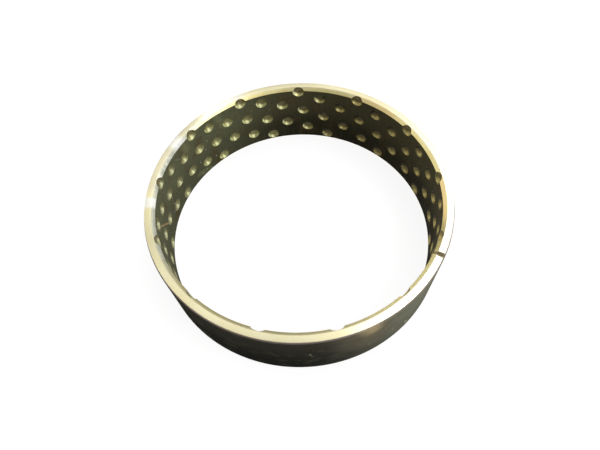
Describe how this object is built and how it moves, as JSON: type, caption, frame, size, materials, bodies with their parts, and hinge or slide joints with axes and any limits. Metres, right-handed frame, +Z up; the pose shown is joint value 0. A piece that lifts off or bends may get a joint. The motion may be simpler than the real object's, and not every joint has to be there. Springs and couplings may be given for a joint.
{
  "type": "wrapped bushing with lubrication pockets",
  "caption": "Thin round bushing rolled from a bronze strip with a butt joint, chamfered ends and round lubrication pockets in slanting rows over its bore.",
  "frame": {"origin": "on the axis of the bore, in the plane of the lower end face", "axes": "+Z up along the axis of the bore; the butt joint of the strip lies 32 degrees from +X towards -Y"},
  "size_m": [0.07, 0.07, 0.018],
  "materials": {
    "bronze": "bright cut ends and pockets, darkened bore and outside"
  },
  "bodies": {
    "root": {"wrapped_bush": "bronze"}
  },
  "joints": []
}
